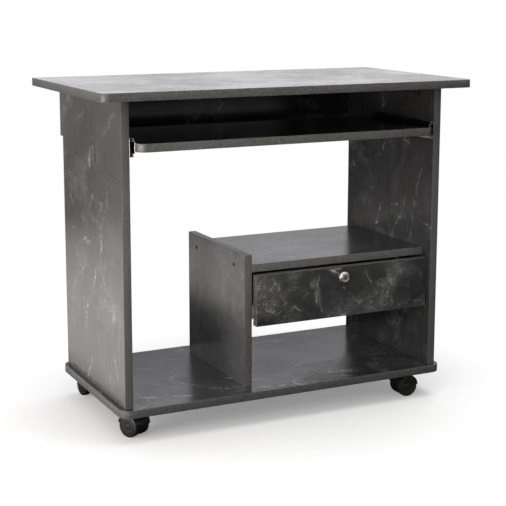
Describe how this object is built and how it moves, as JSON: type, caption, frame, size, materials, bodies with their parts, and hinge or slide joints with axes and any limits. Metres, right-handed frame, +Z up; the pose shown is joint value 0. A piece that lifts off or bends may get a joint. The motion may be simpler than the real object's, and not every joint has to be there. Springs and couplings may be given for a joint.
{
  "type": "computer desk",
  "caption": "Wheeled computer desk with a sliding keyboard tray, an open shelf, a locking drawer, a modesty panel and swivel castors.",
  "frame": {"origin": "on the floor, under the middle of the desktop", "axes": "+X to the sitter's right, -Y towards the sitter, +Z up"},
  "size_m": [0.9, 0.478, 0.758],
  "materials": {
    "laminate": "charcoal marble-print melamine laminate on particle board, satin",
    "edge_band": "speckled dark grey edge banding, satin",
    "slide_steel": "black-coated rolled steel with bright sheared ends",
    "zinc_steel": "zinc-plated pressed steel",
    "bearing_steel": "bright ground steel",
    "drawer_board": "black melamine on particle board, satin",
    "drawer_base": "black-faced hardboard, matt",
    "rail_enamel": "off-white epoxy enamel on pressed steel",
    "roller_nylon": "white nylon",
    "lock_nickel": "nickel-plated, softly polished",
    "castor_plastic": "black moulded nylon, satin",
    "screw_steel": "zinc-plated steel",
    "dowel_beech": "raw beech"
  },
  "bodies": {
    "desk_frame": {"desktop": "laminate", "side_panel_left": "laminate", "side_panel_right": "laminate", "modesty_panel": "laminate", "bottom_board": "laminate", "partition": "laminate", "shelf": "laminate", "frame_edge_bands": "edge_band", "slide_outer_left": "slide_steel", "slide_outer_right": "slide_steel", "cabinet_rail_left": "rail_enamel", "cabinet_rail_right": "rail_enamel", "front_roller_pins": "bearing_steel", "castor_plate_fl": "zinc_steel", "castor_plate_fr": "zinc_steel", "castor_plate_bl": "zinc_steel", "castor_plate_br": "zinc_steel", "angle_brackets": "zinc_steel", "confirmat_screws": "screw_steel", "wood_screws": "screw_steel"},
    "tray": {"keyboard_tray": "laminate", "tray_edge_band": "edge_band", "slide_inner_left": "slide_steel", "slide_inner_right": "slide_steel", "tray_screws": "screw_steel"},
    "ball_cages": {"slide_cage_left": "zinc_steel", "slide_cage_right": "zinc_steel", "slide_balls": "bearing_steel"},
    "drawer": {"drawer_front": "laminate", "drawer_front_edge_band": "edge_band", "drawer_side_left": "drawer_board", "drawer_side_right": "drawer_board", "drawer_back": "drawer_board", "drawer_bottom": "drawer_base", "drawer_rail_left": "rail_enamel", "drawer_rail_right": "rail_enamel", "rear_roller_pins": "bearing_steel", "lock_housing": "lock_nickel", "drawer_screws": "screw_steel", "drawer_dowels": "dowel_beech"},
    "lock_barrel": {"lock_plug": "lock_nickel", "lock_cam": "zinc_steel"},
    "roller_pair_front": {"front_rollers": "roller_nylon"},
    "roller_pair_rear": {"rear_rollers": "roller_nylon"},
    "castor_fl": {"castor_hood_fl": "castor_plastic", "castor_axle_fl": "bearing_steel"},
    "castor_wheel_fl_a": {"wheel_fl_a": "castor_plastic"},
    "castor_wheel_fl_b": {"wheel_fl_b": "castor_plastic"},
    "castor_fr": {"castor_hood_fr": "castor_plastic", "castor_axle_fr": "bearing_steel"},
    "castor_wheel_fr_a": {"wheel_fr_a": "castor_plastic"},
    "castor_wheel_fr_b": {"wheel_fr_b": "castor_plastic"},
    "castor_bl": {"castor_hood_bl": "castor_plastic", "castor_axle_bl": "bearing_steel"},
    "castor_wheel_bl_a": {"wheel_bl_a": "castor_plastic"},
    "castor_wheel_bl_b": {"wheel_bl_b": "castor_plastic"},
    "castor_br": {"castor_hood_br": "castor_plastic", "castor_axle_br": "bearing_steel"},
    "castor_wheel_br_a": {"wheel_br_a": "castor_plastic"},
    "castor_wheel_br_b": {"wheel_br_b": "castor_plastic"}
  },
  "joints": [
    {"name": "tray_slide", "type": "slide", "parent": "desk_frame", "child": "tray", "axis": [0, -1, 0], "range_m": [0, 0.165]},
    {"name": "cage_slide", "type": "slide", "parent": "desk_frame", "child": "ball_cages", "axis": [0, -1, 0], "range_m": [0, 0.0825]},
    {"name": "drawer_slide", "type": "slide", "parent": "desk_frame", "child": "drawer", "axis": [0, -1, 0], "range_m": [0, 0.24]},
    {"name": "front_roller_spin", "type": "hinge", "parent": "desk_frame", "child": "roller_pair_front", "pos_m": [0.1495, -0.142, 0.247], "axis": [1, 0, 0], "continuous": true},
    {"name": "rear_roller_spin", "type": "hinge", "parent": "drawer", "child": "roller_pair_rear", "pos_m": [0.1495, 0.126, 0.244], "axis": [1, 0, 0], "continuous": true},
    {"name": "lock_turn", "type": "hinge", "parent": "drawer", "child": "lock_barrel", "pos_m": [0.1495, -0.179, 0.3106], "axis": [0, -1, 0], "range_deg": [0, 90]},
    {"name": "castor_swivel_fl", "type": "hinge", "parent": "desk_frame", "child": "castor_fl", "pos_m": [-0.3475, -0.1585, 0.04], "axis": [0, 0, 1], "continuous": true},
    {"name": "wheel_spin_fl_a", "type": "hinge", "parent": "castor_fl", "child": "castor_wheel_fl_a", "pos_m": [-0.35548, -0.14349, 0.025], "axis": [0.8829, 0.4695, 0], "continuous": true},
    {"name": "wheel_spin_fl_b", "type": "hinge", "parent": "castor_fl", "child": "castor_wheel_fl_b", "pos_m": [-0.35548, -0.14349, 0.025], "axis": [0.8829, 0.4695, 0], "continuous": true},
    {"name": "castor_swivel_fr", "type": "hinge", "parent": "desk_frame", "child": "castor_fr", "pos_m": [0.3475, -0.1585, 0.04], "axis": [0, 0, 1], "continuous": true},
    {"name": "wheel_spin_fr_a", "type": "hinge", "parent": "castor_fr", "child": "castor_wheel_fr_a", "pos_m": [0.33051, -0.15791, 0.025], "axis": [0.0349, 0.9994, 0], "continuous": true},
    {"name": "wheel_spin_fr_b", "type": "hinge", "parent": "castor_fr", "child": "castor_wheel_fr_b", "pos_m": [0.33051, -0.15791, 0.025], "axis": [0.0349, 0.9994, 0], "continuous": true},
    {"name": "castor_swivel_bl", "type": "hinge", "parent": "desk_frame", "child": "castor_bl", "pos_m": [-0.3475, 0.155, 0.04], "axis": [0, 0, 1], "continuous": true},
    {"name": "wheel_spin_bl_a", "type": "hinge", "parent": "castor_bl", "child": "castor_wheel_bl_a", "pos_m": [-0.34928, 0.17191, 0.025], "axis": [0.9945, 0.1045, 0], "continuous": true},
    {"name": "wheel_spin_bl_b", "type": "hinge", "parent": "castor_bl", "child": "castor_wheel_bl_b", "pos_m": [-0.34928, 0.17191, 0.025], "axis": [0.9945, 0.1045, 0], "continuous": true},
    {"name": "castor_swivel_br", "type": "hinge", "parent": "desk_frame", "child": "castor_br", "pos_m": [0.3475, 0.155, 0.04], "axis": [0, 0, 1], "continuous": true},
    {"name": "wheel_spin_br_a", "type": "hinge", "parent": "castor_br", "child": "castor_wheel_br_a", "pos_m": [0.33448, 0.16593, 0.025], "axis": [0.6428, 0.766, 0], "continuous": true},
    {"name": "wheel_spin_br_b", "type": "hinge", "parent": "castor_br", "child": "castor_wheel_br_b", "pos_m": [0.33448, 0.16593, 0.025], "axis": [0.6428, 0.766, 0], "continuous": true}
  ],
  "couplings": [
    {"joint": "cage_slide", "follows": "tray_slide", "ratio": 0.5},
    {"joint": "front_roller_spin", "follows": "drawer_slide", "rad_per_m": 95.238},
    {"joint": "rear_roller_spin", "follows": "drawer_slide", "rad_per_m": 95.238}
  ]
}
